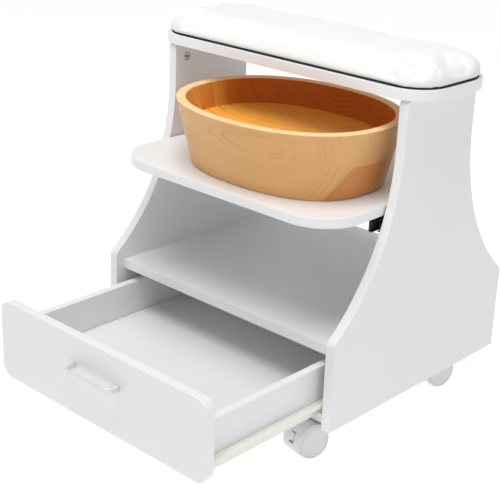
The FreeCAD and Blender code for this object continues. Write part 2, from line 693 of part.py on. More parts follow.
def wheel_shapes():
    inner, wide = size("wheel_inner"), size("wheel_wide")
    bore_deep = wide - size("wheel_skin")
    wheels = []
    for start, bore_start in ((inner, inner), (-inner - wide, -inner - bore_deep)):
        disc = across(size("wheel_rad"), start, wide)
        treads = [e for e in disc.Edges if e.Closed]
        disc = disc.makeFillet(size("tread_rad"), treads)
        wheels.append(disc.cut(across(size("pin_rad+fit"), bore_start, bore_deep)))
    return Part.makeCompound(wheels)


def plate_shape():
    long, wide, thick = size("plate_long/2"), size("plate_wide/2"), size("plate")
    plate = region((-long, long), (-wide, wide), (-thick, 0))
    plate = plate.makeFillet(size("plate_corner"), [e for e in plate.Edges if abs(e.Length - thick) < 1e-6])
    head, shank = size("plate_head"), size("plate_shank")
    for x in (-size("plate_screw_x"), size("plate_screw_x")):
        for y in (-size("plate_screw_y"), size("plate_screw_y")):
            hole = upright(shank, -thick, 0).fuse(upright(head, -thick, size("head_high") - thick))
            plate = plate.cut(hole.translated(FreeCAD.Vector(x, y, 0)))
    stem_end = HUB + size("boss_low+stem_deep+stem_gap")
    return plate.fuse(upright(size("stem_rad"), stem_end, -thick))


def sector(inner, outer, half_width, start, end):
    """A block between two radii and two angles above the axle, in front of it."""
    def point(radius, angle):
        turn = math.radians(angle)
        return FreeCAD.Vector(-half_width, TRAIL - radius * math.cos(turn), HUB + radius * math.sin(turn))

    middle = (start + end) / 2
    corners = [point(inner, start), point(outer, start), point(outer, end), point(inner, end)]
    edges = [Part.makeLine(corners[0], corners[1]), Part.Arc(corners[1], point(outer, middle), corners[2]).toShape(),
             Part.makeLine(corners[2], corners[3]), Part.Arc(corners[3], point(inner, middle), corners[0]).toShape()]
    return Part.Face(Part.Wire(edges)).extrude(FreeCAD.Vector(2 * half_width, 0, 0))


gap = size("pedal_gap")
pedal = sector(size("pedal_in"), size("pedal_out"), size("pedal_half"), size("pedal_low"), size("pedal_high"))
window = sector(size("pedal_in") - gap, size("hood_rad") + 1, size("pedal_half") + gap,
                -size("window_low"), size("pedal_high+window_low"))
hood, axle, wheels, plate = hood_shape(), axle_shape(), wheel_shapes(), plate_shape()
braked_hood = hood.cut(window)
turn = FreeCAD.Rotation(FreeCAD.Vector(0, 0, 1), -size("caster_turn"))
plates, plate_screws = [], []
for place_word, y_word, has_brake in (("front", "0-caster_front", True), ("rear", "caster_rear", False)):
    for side_word, side in (("left", -1), ("right", 1)):
        at = FreeCAD.Vector(side * size("caster_x"), size("row_shift") + size(y_word), size("floor_gap"))
        where = f"{place_word}_{side_word}"
        pieces = {"caster_hood": braked_hood if has_brake else hood, "caster_axle": axle, "caster_wheels": wheels}
        if has_brake:
            pieces["brake_pedal"] = pedal
        for kind, shape in pieces.items():
            feature = doc.addObject("Part::Feature", f"{kind}_{where}")
            feature.Shape = shape
            feature.Placement = FreeCAD.Placement(at, turn)
            node(feature, f"{kind}_{where}")
        flat = doc.addObject("Part::Feature", "Plate")
        flat.Shape = plate
        flat.Placement = FreeCAD.Placement(at, FreeCAD.Rotation())
        plates.append(flat)
        for x in ("0-plate_screw_x", "plate_screw_x"):
            x_word = f"{x}{'+' if side > 0 else '-'}caster_x"
            for y in ("-plate_screw_y", "+plate_screw_y"):
                plate_screws.append(screw("z", 1, "12", x_word, y_word + y, "head_high-plate",
                                          head="plate_head", shank="plate_shank"))
node(group(plates), "caster_plates")
node(group(plate_screws), "caster_screws")

# --- Check and write ---

doc.recompute()
for thing in doc.Objects:
    if {"Invalid", "Error"} & set(thing.State):
        raise RuntimeError(f"{thing.Label} failed: {thing.State}")
os.makedirs("parts", exist_ok=True)
low, high = [math.inf] * 3, [-math.inf] * 3
for name, thing in nodes.items():
    shape = thing.Shape
    if shape.isNull() or not shape.isValid() or shape.Volume < 1:
        raise RuntimeError(f"{name} has no valid shape")
    shape.exportStep(f"parts/{name}.step")
    print(f"{name}: {len(shape.Solids)} solid(s), {shape.Volume / 1000:.1f} cm3")
    box = shape.optimalBoundingBox(False)
    low = [min(a, b) for a, b in zip(low, (box.XMin, box.YMin, box.ZMin))]
    high = [max(a, b) for a, b in zip(high, (box.XMax, box.YMax, box.ZMax))]
print(f"{len(nodes)} nodes,", ", ".join(f"{axis} {a:.1f}..{b:.1f}" for axis, a, b in zip("xyz", low, high)))
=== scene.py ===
import bpy
import bmesh
import json
import math
import numpy as np
from mathutils import Matrix, Vector

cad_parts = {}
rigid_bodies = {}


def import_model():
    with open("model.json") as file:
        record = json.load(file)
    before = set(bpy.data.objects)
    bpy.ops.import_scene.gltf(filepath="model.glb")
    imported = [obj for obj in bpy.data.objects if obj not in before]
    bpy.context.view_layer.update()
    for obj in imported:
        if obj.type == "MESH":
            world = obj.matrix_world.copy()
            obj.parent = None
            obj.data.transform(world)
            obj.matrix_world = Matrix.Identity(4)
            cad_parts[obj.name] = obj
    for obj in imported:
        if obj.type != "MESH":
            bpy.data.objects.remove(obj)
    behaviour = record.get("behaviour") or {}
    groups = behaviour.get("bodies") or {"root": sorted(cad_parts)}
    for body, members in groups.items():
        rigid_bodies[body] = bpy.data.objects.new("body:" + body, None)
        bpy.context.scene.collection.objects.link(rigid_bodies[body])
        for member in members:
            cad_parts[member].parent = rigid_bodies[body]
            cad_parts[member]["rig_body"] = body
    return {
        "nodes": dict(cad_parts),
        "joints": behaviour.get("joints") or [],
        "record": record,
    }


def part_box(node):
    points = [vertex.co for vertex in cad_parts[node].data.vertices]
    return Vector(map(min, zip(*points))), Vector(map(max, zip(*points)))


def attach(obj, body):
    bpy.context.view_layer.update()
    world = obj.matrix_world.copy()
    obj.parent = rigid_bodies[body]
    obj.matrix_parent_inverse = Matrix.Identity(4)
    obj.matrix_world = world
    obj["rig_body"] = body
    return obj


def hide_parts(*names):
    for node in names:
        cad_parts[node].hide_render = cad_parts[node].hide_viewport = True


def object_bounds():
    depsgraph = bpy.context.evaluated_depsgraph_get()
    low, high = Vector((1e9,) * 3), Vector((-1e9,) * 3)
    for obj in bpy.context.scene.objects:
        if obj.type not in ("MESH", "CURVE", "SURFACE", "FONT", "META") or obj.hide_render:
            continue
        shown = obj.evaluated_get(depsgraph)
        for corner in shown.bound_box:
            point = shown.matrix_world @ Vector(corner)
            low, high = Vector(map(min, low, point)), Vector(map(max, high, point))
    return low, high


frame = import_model()
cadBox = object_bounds()  # the box before the visual pieces are made
cadNodes = frame["nodes"]
slotOf = {part["node"]: part["material_slot"] for part in frame["record"]["subparts"]}
boxLow, boxHigh = cadBox
boxMiddle = (boxLow + boxHigh) / 2
print("frame loaded:", len(cadNodes), "nodes")


def addNode(tree, kind, inputs=None, **settings):
    node = tree.nodes.new(kind)
    for name, value in settings.items():
        setattr(node, name, value)
    for name, value in (inputs or {}).items():
        if isinstance(value, bpy.types.NodeSocket):
            tree.links.new(value, node.inputs[name])
        else:
            node.inputs[name].default_value = value
    return node


def newMaterial(name):
    material = bpy.data.materials.new(name)
    material.use_nodes = True
    tree = material.node_tree
    return material, tree, tree.nodes["Principled BSDF"]


def calc(tree, operation, first, second=0.0, third=0.0):
    return addNode(tree, "ShaderNodeMath", {0: first, 1: second, 2: third}, operation=operation).outputs[0]


def vectorCalc(tree, operation, first, second):
    return addNode(tree, "ShaderNodeVectorMath", {0: first, 1: second}, operation=operation).outputs[0]


def noise(tree, place, scale, detail, roughness=0.5):
    inputs = {"Vector": place, "Scale": scale, "Detail": detail, "Roughness": roughness}
    return addNode(tree, "ShaderNodeTexNoise", inputs)


def remap(tree, value, fromLow, fromHigh, toLow, toHigh, smooth=False):
    kind = "SMOOTHSTEP" if smooth else "LINEAR"
    names = {"Value": value, "From Min": fromLow, "From Max": fromHigh, "To Min": toLow, "To Max": toHigh}
    return addNode(tree, "ShaderNodeMapRange", names, interpolation_type=kind).outputs[0]


def blendColor(tree, factor, first, second, kind="MIX"):
    node = addNode(tree, "ShaderNodeMix", data_type="RGBA", blend_type=kind)
    for index, value in ((0, factor), (6, first), (7, second)):
        if isinstance(value, bpy.types.NodeSocket):
            tree.links.new(value, node.inputs[index])
        else:
            node.inputs[index].default_value = value
    return node.outputs[2]


def toned(color, amount):
    return tuple(min(1.0, channel * amount) for channel in color) + (1.0,)


def coated(name, look):
    material, tree, shader = newMaterial(name)
    place = addNode(tree, "ShaderNodeTexCoord").outputs["Object"]
    clouds = noise(tree, place, look["cloudScale"], 3.0).outputs["Fac"]
    darker, lighter = toned(look["color"], 1 - look["spread"]), toned(look["color"], 1 + look["spread"])
    base = blendColor(tree, clouds, darker, lighter)
    tree.links.new(base, shader.inputs["Base Color"])
    gloss = remap(tree, clouds, 0.3, 0.7, look["rough"] - 0.03, look["rough"] + 0.04)
    tree.links.new(gloss, shader.inputs["Roughness"])
    peel = noise(tree, place, look["peelScale"], 2.0).outputs["Fac"]
    relief = {"Height": peel, "Strength": look["peel"], "Distance": peelDepth}
    bump = addNode(tree, "ShaderNodeBump", relief)
    tree.links.new(bump.outputs["Normal"], shader.inputs["Normal"])
    shader.inputs["Metallic"].default_value = look.get("metal", 0.0)
    shader.inputs["Coat Weight"].default_value = look.get("coat", 0.0)
    shader.inputs["Coat Roughness"].default_value = look.get("coatRough", 0.2)
    shader.inputs["Specular IOR Level"].default_value = look.get("specular", 0.5)
    return material


peelDepth = 0.0004  # metres, the unevenness of a painted or laminated surface at full strength
finishes = {
    "white_laminate": {"color": (0.78, 0.78, 0.79), "rough": 0.34, "cloudScale": 14.0, "spread": 0.012,
                       "peelScale": 900.0, "peel": 0.06},
    "edge_band": {"color": (0.80, 0.80, 0.805), "rough": 0.3, "cloudScale": 20.0, "spread": 0.01,
                  "peelScale": 700.0, "peel": 0.05},
    # near-black underlay: the board's own dark colour, and painted gap shadow under the cushion
    "dark_underlay": {"color": (0.018, 0.018, 0.019), "rough": 0.7, "cloudScale": 60.0, "spread": 0.25,
                      "peelScale": 500.0, "peel": 0.2},
    "cream_steel": {"color": (0.82, 0.815, 0.74), "rough": 0.36, "cloudScale": 30.0, "spread": 0.015,
                    "peelScale": 1300.0, "peel": 0.12, "coat": 0.2},
    "black_steel": {"color": (0.014, 0.014, 0.015), "rough": 0.34, "cloudScale": 50.0, "spread": 0.3,
                    "peelScale": 1500.0, "peel": 0.1, "coat": 0.25},
    "satin_handle": {"color": (0.72, 0.72, 0.735), "rough": 0.32, "cloudScale": 80.0, "spread": 0.02,
                     "peelScale": 1600.0, "peel": 0.06, "metal": 0.25, "coat": 0.3},
    "roller_nylon": {"color": (0.78, 0.78, 0.75), "rough": 0.42, "cloudScale": 90.0, "spread": 0.03,
                     "peelScale": 1100.0, "peel": 0.1},
    "caster_shell": {"color": (0.74, 0.74, 0.75), "rough": 0.36, "cloudScale": 70.0, "spread": 0.015,
                     "peelScale": 1200.0, "peel": 0.08},
    "caster_wheel": {"color": (0.70, 0.70, 0.705), "rough": 0.42, "cloudScale": 60.0, "spread": 0.02,
                     "peelScale": 900.0, "peel": 0.1},
    "zinc_steel": {"color": (0.62, 0.62, 0.63), "rough": 0.33, "cloudScale": 120.0, "spread": 0.08,
                   "peelScale": 1400.0, "peel": 0.08, "metal": 1.0},
    "fastener_steel": {"color": (0.42, 0.40, 0.37), "rough": 0.3, "cloudScale": 200.0, "spread": 0.15,
                       "peelScale": 2500.0, "peel": 0.1, "metal": 1.0},
}
materials = {name: coated(name, look) for name, look in finishes.items()}

leatherette = {
    "color": (0.805, 0.808, 0.792), "spread": 0.015, "cloudScale": 9.0,
    "rough": 0.46, "sheen": 0.08, "specular": 0.4,
    "grainSize": 1400.0, "grainDepth": 0.00012, "grain": 0.35,
    "warpScale": 300.0, "warp": 0.0012,  # bends the cells of the grain
    # the grain's creases are blended toward this darker colour: painted shade in the creases
    "creaseShadeColor": (0.70, 0.70, 0.67), "creaseShadeShare": 0.06,
}


def makeLeatherette(look):
    material, tree, shader = newMaterial("seat_leatherette")
    place = addNode(tree, "ShaderNodeTexCoord").outputs["Object"]
    warp = noise(tree, place, look["warpScale"], 2.0).outputs["Color"]
    bent = vectorCalc(tree, "ADD", place, vectorCalc(tree, "MULTIPLY", warp, (look["warp"],) * 3))
    cells = {"Vector": bent, "Scale": look["grainSize"]}
    pebbles = addNode(tree, "ShaderNodeTexVoronoi", cells, feature="DISTANCE_TO_EDGE")
    creases = remap(tree, pebbles.outputs["Distance"], 0.0, 0.25, 0.0, 1.0, smooth=True)
    clouds = noise(tree, place, look["cloudScale"], 3.0).outputs["Fac"]
    darker, lighter = toned(look["color"], 1 - look["spread"]), toned(look["color"], 1 + look["spread"])
    tone = blendColor(tree, clouds, darker, lighter)
    # painted shade: the creases are darkened toward the crease colour
    creaseShadeFactor = remap(tree, creases, 0.0, 1.0, look["creaseShadeShare"], 0.0)
    tree.links.new(blendColor(tree, creaseShadeFactor, tone, look["creaseShadeColor"] + (1.0,)), shader.inputs["Base Color"])
    gloss = remap(tree, creases, 0.0, 1.0, look["rough"] + 0.1, look["rough"])
    tree.links.new(gloss, shader.inputs["Roughness"])
    relief = {"Height": creases, "Strength": look["grain"], "Distance": look["grainDepth"]}
    bump = addNode(tree, "ShaderNodeBump", relief)
    tree.links.new(bump.outputs["Normal"], shader.inputs["Normal"])
    shader.inputs["Sheen Weight"].default_value = look["sheen"]
    shader.inputs["Specular IOR Level"].default_value = look["specular"]
    return material


materials["seat_leatherette"] = makeLeatherette(leatherette)


def cleanMesh(source):
    outline = bmesh.new()
    outline.from_mesh(source.data)
    bmesh.ops.remove_doubles(outline, verts=outline.verts, dist=1e-6)
    bmesh.ops.dissolve_limit(outline, angle_limit=math.radians(0.6), verts=outline.verts, edges=outline.edges)
    return outline


def addPiece(name, mesh, nodeName, material):
    piece = bpy.data.objects.new(name, mesh)
    bpy.context.scene.collection.objects.link(piece)
    mesh.materials.clear()
    mesh.materials.append(material)
    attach(piece, cadNodes[nodeName]["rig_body"])
    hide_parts(nodeName)
    return piece


def shadeSmooth(piece, angle=40.0):
    mesh = piece.data
    mesh.polygons.foreach_set("use_smooth", [True] * len(mesh.polygons))
    mesh.set_sharp_from_angle(angle=math.radians(angle))
    piece.modifiers.new("evenShading", "WEIGHTED_NORMAL").keep_sharp = True
    return piece


def camel(nodeName):
    words = nodeName.split("_")
    return words[0] + "".join(word.capitalize() for word in words[1:])


def softened(nodeName, width, segments=2):
    # the CAD node's own shape, with every edge that turns by more than 30 degrees rounded
    outline = cleanMesh(cadNodes[nodeName])
    sharp = [edge for edge in outline.edges
             if len(edge.link_faces) == 2 and edge.calc_face_angle(0.0) > math.radians(30)]
    bmesh.ops.bevel(outline, geom=sharp, offset=width, segments=segments, profile=0.5,
                    affect="EDGES", clamp_overlap=True)
    mesh = bpy.data.meshes.new(camel(nodeName))
    outline.to_mesh(mesh)
    outline.free()
    piece = addPiece(camel(nodeName), mesh, nodeName, materials[slotOf[nodeName]])
    return shadeSmooth(piece)


boards = {
    "edge": 0.0012,  # rounding of the banded edges
    "underlayEdge": 0.0003,
    "names": ["side_panel_left", "side_panel_right", "seat_board", "lower_shelf", "base_board", "back_panel",
              "drawer_front", "drawer_side_left", "drawer_side_right", "drawer_back", "drawer_bottom",
              "basin_tray", "seat_underlay"],
    "plain": ["seat_underlay", "drawer_bottom"],
    "seam": 0.0013,  # height of the near-black strip under the cushion: partly the dark underlay, partly painted gap shadow
    "tuck": 0.0030,  # how far the underlay is drawn in behind the cover
}


def makeBoard(nodeName):
    piece = softened(nodeName, boards["underlayEdge" if nodeName == "seat_underlay" else "edge"])
    if nodeName == "seat_underlay":
        # the cover is pulled down over the upper part of the underlay
        low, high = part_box(nodeName)
        middle, half = (low + high) / 2, (high - low) / 2
        for vertex in piece.data.vertices:
            for axis in (0, 1):
                away = vertex.co[axis] - middle[axis]
                vertex.co[axis] = middle[axis] + away * (half[axis] - boards["tuck"]) / half[axis]
            # the underlay is squashed to the height of the dark line, so the near-black strip is partly the
            # real underlay and partly painted gap shadow
            vertex.co.z = low.z + (vertex.co.z - low.z) * boards["seam"] / (high.z - low.z)
    if nodeName in boards["plain"]:
        return
    low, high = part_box(nodeName)
    thin = min(range(3), key=lambda axis: high[axis] - low[axis])
    piece.data.materials.append(materials["edge_band"])
    for face in piece.data.polygons:
        face.material_index = 1 if abs(face.normal[thin]) < 0.6 else 0


for nodeName in boards["names"]:
    makeBoard(nodeName)
print("boards finished")


cushion = {
    "start": 0.004,  # how much smaller the form is before it is blown up
    "grid": 0.005, "corner": 0.055, "fill": 0.85,
    "waist": 0.001, "sideFrom": 0.15, "sideTo": 0.45, "top": 0.9,  # heights are shares of the cushion's
    "stapled": 0.004, "flat": 0.002,  # heights of the part that is held and of the part that lies flat
    "pressure": 4.0, "stretch": 12.0, "bending": 0.6, "frames": 20, "mostMove": 0.007,
}


def roundedOutline(halfX, halfY, radius, perCorner=14, perSide=12):
    points = []
    for quarter, (sx, sy) in enumerate(((1, 1), (-1, 1), (-1, -1), (1, -1))):
        centre = Vector((sx * (halfX - radius), sy * (halfY - radius)))
        for step in range(perCorner + 1):
            turn = math.radians(90 * (quarter + step / perCorner))
            points.append(centre + radius * Vector((math.cos(turn), math.sin(turn))))
        nextX, nextY = ((-1, 1), (-1, -1), (1, -1), (1, 1))[quarter]
        turn = math.radians(90 * (quarter + 1))
        following = Vector((nextX * (halfX - radius), nextY * (halfY - radius)))
        finish = following + radius * Vector((math.cos(turn), math.sin(turn)))
        start = points[-1].copy()
        points += [start.lerp(finish, step / perSide) for step in range(1, perSide)]
    return points


def loftRings(rings, capped=True):
    mesh = bmesh.new()
    rows = [[mesh.verts.new(point) for point in ring] for ring in rings]
    count = len(rings[0])
    for lower, upper in zip(rows, rows[1:]):
        for step in range(count):
            after = (step + 1) % count
            mesh.faces.new((lower[step], lower[after], upper[after], upper[step]))
    if capped:
        mesh.faces.new(list(reversed(rows[0])))
        mesh.faces.new(rows[-1])
    return mesh


def makeTurned(mesh, profile, centre, axis, around=48, materialOf=None):
    # profile: (radius, place along the axis) from one end to the other
    axis = Vector(axis).normalized()
    side = axis.orthogonal().normalized()
    other = axis.cross(side)
    rows = []
    for radius, along in profile:
        middle = Vector(centre) + axis * along
        if radius < 1e-7:
            rows.append([mesh.verts.new(middle)])
            continue
        turns = (2 * math.pi * step / around for step in range(around))
        ring = [middle + radius * (math.cos(turn) * side + math.sin(turn) * other) for turn in turns]
        rows.append([mesh.verts.new(point) for point in ring])
    for index, (lower, upper) in enumerate(zip(rows, rows[1:])):
        for step in range(around):
            after = (step + 1) % around
            corners = [lower[step % len(lower)], lower[after % len(lower)],
                       upper[after % len(upper)], upper[step % len(upper)]]
            face = mesh.faces.new(list(dict.fromkeys(corners)))
            face.material_index = materialOf[index] if materialOf else 0


def makeCushion():
    low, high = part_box("seat_cushion")
    low.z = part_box("seat_underlay")[0].z + boards["seam"] + 0.0001
    middle = (low + high) / 2
    halfX, halfY = (high.x - low.x) / 2, (high.y - low.y) / 2
    height, inset = high.z - low.z, cushion["start"]
    rings = []
    sideTo, rise = cushion["sideTo"], cushion["top"] - cushion["sideTo"]
    sections = [(0.0, cushion["waist"]), (cushion["sideFrom"], 0.0), (sideTo, 0.0)]
    for step in range(1, 7):
        turn = math.radians(15 * step)
        sections.append((sideTo + rise * math.sin(turn), height / 2 * (1 - math.cos(turn))))
    for share, pull in sections:
        radius = max(cushion["corner"] - inset - pull, 0.01)
        outline = roundedOutline(halfX - inset - pull, halfY - inset - pull, radius)
        rings.append([Vector((middle.x + p.x, middle.y + p.y, low.z + share * height)) for p in outline])
    body = loftRings(rings)
    bmesh.ops.recalc_face_normals(body, faces=body.faces)
    mesh = bpy.data.meshes.new("cushion")
    body.to_mesh(mesh)
    body.free()
    piece = bpy.data.objects.new("cushion", mesh)
    bpy.context.scene.collection.objects.link(piece)
    remesh = piece.modifiers.new("evenGrid", "REMESH")
    remesh.mode = "VOXEL"
    remesh.voxel_size = cushion["grid"]
    bakeModifiers(piece)
    inflate(piece, low.z)
    settle(piece, low.z)
    smooth = piece.modifiers.new("fine", "SUBSURF")
    smooth.levels = smooth.render_levels = 1
    bakeModifiers(piece)
    for vertex in piece.data.vertices:
        vertex.co.z = max(vertex.co.z, low.z + 0.0001)
    piece.data.materials.append(materials["seat_leatherette"])
    piece.data.polygons.foreach_set("use_smooth", [True] * len(piece.data.polygons))
    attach(piece, "carcass")
    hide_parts("seat_cushion")


def bakeModifiers(piece):
    graph = bpy.context.evaluated_depsgraph_get()
    mesh = bpy.data.meshes.new_from_object(piece.evaluated_get(graph))
    piece.modifiers.clear()
    old, piece.data = piece.data, mesh
    bpy.data.meshes.remove(old)


def inflate(piece, floor):
    rest = np.array([vertex.co[:] for vertex in piece.data.vertices])
    pinned = piece.vertex_groups.new(name="stapled")
    pinned.add([i for i, co in enumerate(rest) if co[2] < floor + cushion["stapled"]], 1.0, "REPLACE")
    cloth = piece.modifiers.new("cover", "CLOTH")
    cloth.settings.vertex_group_mass = "stapled"
    cloth.settings.use_pressure = True
    cloth.settings.uniform_pressure_force = cushion["pressure"]
    cloth.settings.effector_weights.gravity = 0.0
    cloth.settings.tension_stiffness = cloth.settings.compression_stiffness = cushion["stretch"]
    cloth.settings.bending_stiffness = cushion["bending"]
    scene = bpy.context.scene
    scene.frame_start, scene.frame_end = 1, cushion["frames"]
    cloth.point_cache.frame_start, cloth.point_cache.frame_end = 1, cushion["frames"]
    for step in range(1, cushion["frames"] + 1):
        scene.frame_set(step)
    bakeModifiers(piece)
    swollen = np.array([vertex.co[:] for vertex in piece.data.vertices])
    move = swollen - rest
    reach = np.linalg.norm(move, axis=1, keepdims=True)
    move *= np.minimum(1.0, cushion["mostMove"] / np.maximum(reach, 1e-9))
    piece.data.vertices.foreach_set("co", (rest + move).ravel())
    scene.frame_set(1)


def settle(piece, floor):
    for vertex in piece.data.vertices:
        if vertex.co.z < floor + cushion["flat"]:
            vertex.co.z = floor
    piece.data.update()


makeCushion()
print("cushion finished")


basin = {
    "high": 0.104, "wall": 0.014,
    "bed": 0.064, "base": 0.014,  # height of the bottom board's top, and its thickness
    "rim": (0.180, 0.146), "foot": (0.156, 0.114),  # half length and half width at the top and at the foot
    "rimPower": 2.2, "footPower": 2.4,  # 2 is an ellipse, more is squarer
    "rimRound": 0.0018, "footRound": 0.002, "cove": 0.0012, "around": 240,
}


def evenOval(halfLong, halfShort, power, count):
    fine = []
    for step in range(2000):
        turn = 2 * math.pi * step / 2000
        c, s = math.cos(turn), math.sin(turn)
        fine.append((math.copysign(halfLong * abs(c) ** (2 / power), c),
                     math.copysign(halfShort * abs(s) ** (2 / power), s)))
    fine = np.array(fine + fine[:1])
    run = np.concatenate([[0], np.cumsum(np.linalg.norm(np.diff(fine, axis=0), axis=1))])
    wanted = np.linspace(0, run[-1], count, endpoint=False)
    return np.stack([np.interp(wanted, run, fine[:, axis]) for axis in (0, 1)], axis=1)


def basinSection():
    # (height, distance inside the outer wall) from the underside of the bottom board round to its top
    high, wall, bed, base = (basin[key] for key in ("high", "wall", "bed", "base"))
    rimRound, footRound, cove = (basin[key] for key in ("rimRound", "footRound", "cove"))
    quarter = np.radians([18, 36, 54, 72, 90])
    section = [(bed - base, wall + 0.06), (bed - base, wall + 0.02), (bed - base, wall)]
    section += [((bed - base) * share, wall) for share in np.linspace(0.85, 0.1, 7)]
    section += [(footRound * (1 - math.sin(t)), wall - footRound * (1 - math.cos(t))) for t in quarter]
    section += [(footRound * (1 - math.cos(t)), footRound * (1 - math.sin(t))) for t in quarter]
    straight = high - footRound - rimRound
    section += [(footRound + straight * share, 0.0) for share in np.linspace(0.06, 1, 18)]
    section += [(high - rimRound * (1 - math.sin(t)), rimRound * (1 - math.cos(t))) for t in quarter]
    section += [(high, wall / 2), (high, wall - rimRound)]
    section += [(high - rimRound * (1 - math.cos(t)), wall - rimRound * (1 - math.sin(t))) for t in quarter]
    shoulder = high - rimRound
    section += [(shoulder - (shoulder - bed - cove) * share, wall) for share in np.linspace(0.1, 1, 9)]
    section += [(bed + cove * (1 - math.sin(t)), wall + cove * (1 - math.cos(t))) for t in quarter]
    section += [(bed, wall + cove + 0.015), (bed, wall + cove + 0.05)]
    return section


def makeBasin():
    low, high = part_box("foot_basin")
    middle = (low + high) / 2
    foot, rim = Vector(basin["foot"]), Vector(basin["rim"])
    rings = []
    for height, inside in basinSection():
        share = height / basin["high"]
        half = foot.lerp(rim, share) - Vector((inside, inside))
        power = basin["footPower"] + share * (basin["rimPower"] - basin["footPower"])
        oval = evenOval(half.x, half.y, power, basin["around"])
        rings.append([Vector((middle.x + x, middle.y + y, low.z + height)) for x, y in oval])
    tub = loftRings(rings, capped=False)
    tub.verts.ensure_lookup_table()
    count = basin["around"]
    for first, height in ((0, basin["bed"] - basin["base"]), (len(rings) - 1, basin["bed"])):
        hub = tub.verts.new((middle.x, middle.y, low.z + height))
        tub.verts.ensure_lookup_table()
        for step in range(count):
            here, following = (tub.verts[first * count + place % count] for place in (step, step + 1))
            tub.faces.new((following, here, hub) if first == 0 else (here, following, hub))
    bmesh.ops.recalc_face_normals(tub, faces=tub.faces)
    mesh = bpy.data.meshes.new("footBasin")
    tub.to_mesh(mesh)
    tub.free()
    addPiece("footBasin", mesh, "foot_basin", makeWood(middle, low.z, wallWood))
    for look in (rimPaintedHighlightWood, insidePaintedShadeWood, floorPaintedLightWood):
        mesh.materials.append(makeWood(middle, low.z, look))
    for face in mesh.polygons:
        outward = Vector((face.center.x - middle.x, face.center.y - middle.y, 0))
        # faces on top of the rim take the lighter copy of the wood: painted highlight
        if face.center.z > high.z - 1.2 * basin["rimRound"]:
            face.material_index = 1
        # upward faces of the inner floor take the saturated copy of the wood: painted light and painted
        # bounce light
        elif face.normal.z > 0.9 and face.center.z < low.z + basin["bed"] + 0.001:
            face.material_index = 3
        # inward-facing faces above the floor take the darker copy of the wood: painted shade
        elif face.normal.dot(outward) < 0 and face.center.z > low.z + basin["bed"]:
            face.material_index = 2
    mesh.polygons.foreach_set("use_smooth", [True] * len(mesh.polygons))
    mesh.set_sharp_from_angle(angle=math.radians(50))


# the growth rings are circles about a heart; stretch flattens them
wallWood = {
    "pattern": "wall", "heart": (-0.033, 0.0, 0.078), "stretch": (1.0, 0.0, 1.0),
    "light": (0.725, 0.415, 0.165), "line": (0.50, 0.215, 0.062),
    "block": (0.66, 0.285, 0.088), "blockLine": (0.38, 0.105, 0.022),
    "spacing": 0.0054, "contrast": 0.4, "bend": 0.05, "rough": 0.42, "specular": 0.35,
}
# the rim's top gets a lighter, creamier copy of the wood: painted highlight where light from above falls on
# it
rimPaintedHighlightWood = {
    "pattern": "rim", "heart": (0.0, 0.9, 0.0), "stretch": (0.4, 1.0, 0.0),
    "light": (0.93, 0.645, 0.34), "line": (0.78, 0.45, 0.17),
    "spacing": 0.0042, "contrast": 0.4, "bend": 0.03, "rough": 0.4, "specular": 0.35,
}
# the inner walls get a darker, redder copy of the wood: painted shade and painted bounce light inside the tub
insidePaintedShadeWood = {
    "pattern": "inside", "heart": (0.08, 0.0, 0.145), "stretch": (1.0, 0.0, 1.0),
    "light": (0.55, 0.155, 0.014), "line": (0.27, 0.055, 0.005),
    "block": (0.80, 0.385, 0.085), "blockLine": (0.46, 0.17, 0.02),
    "spacing": 0.0075, "contrast": 0.45, "bend": 0.04, "rough": 0.42, "specular": 0.15,
}
# the inner floor gets a saturated orange copy of the wood, lighter than the inner walls: painted light from
# above and painted bounce light
floorPaintedLightWood = {
    "pattern": "floor", "heart": (-0.067, 0.146, 0.0), "stretch": (1.0, 1.0, 0.0),
    "light": (0.93, 0.44, 0.065), "line": (0.42, 0.13, 0.015),
    "spacing": 0.0105, "contrast": 0.6, "bend": 0.03, "rough": 0.4, "specular": 0.15,
}
wallAcross = (0.74, 0.67, 0.0)  # the wall's grain is drawn on a plane along this direction
wallRings = {"from": -0.03, "to": 0.09, "long": 0.24, "steep": 0.95}  # long left of the heart, steep right
wallBlock = {
    "jointLean": 0.86, "jointFrom": 0.042, "jointTo": 0.052, "top": 0.0515, "back": 0.03,
    "grainAcross": 0.8, "grainUp": 0.62, "grainShare": 0.95,
}
staves = {"perRadian": 13.5, "uneven": 0.045, "goldenTo": -0.118, "redFrom": -0.07}
grain = {
    "bendScale": 7.0, "rippleScale": 45.0, "ripple": 0.35, "fadeScale": 18.0,
    "fibreScale": (16.0, 30.0, 380.0), "fibre": 0.13,
    "tintScale": 9.0, "tint": (0.93, 0.84, 0.74), "relief": 0.1, "reliefDeep": 0.0003,
}


def alongWall(tree, place):
    names = {0: place, 1: wallAcross}
    return addNode(tree, "ShaderNodeVectorMath", names, operation="DOT_PRODUCT").outputs["Value"]


